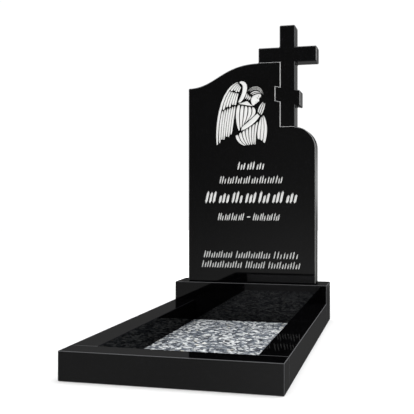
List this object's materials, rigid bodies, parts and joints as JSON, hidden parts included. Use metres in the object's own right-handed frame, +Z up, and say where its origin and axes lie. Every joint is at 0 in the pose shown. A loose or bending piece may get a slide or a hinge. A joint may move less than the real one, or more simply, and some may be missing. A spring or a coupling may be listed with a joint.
{
  "type": "upright cross headstone",
  "caption": "Upright slab with a cross at one shoulder, on a plinth behind a low kerb frame and a bed of stone chips; its face has a shallow praying figure and rows of plain strokes.",
  "frame": {"origin": "on the ground under the middle of the whole set, front to back and side to side", "axes": "+Z up, the slab's engraved face and the kerb's front bar look along -Y, +X is to the right of someone who reads the face"},
  "size_m": [0.6, 1.2, 1.1573],
  "materials": {
    "engraved_granite": "black granite, mirror polished, with whitened sandblasted engraving and honed grey arrises and groove",
    "polished_granite": "black granite, mirror polished, with honed grey arrises",
    "stone_chips": "loose broken chips, white and grey with some blue-black and cream ones, matt"
  },
  "bodies": {
    "root": {"headstone": "engraved_granite", "plinth": "polished_granite", "kerb_front": "polished_granite", "kerb_left": "polished_granite", "kerb_right": "polished_granite", "gravel_bed": "stone_chips"}
  },
  "joints": []
}
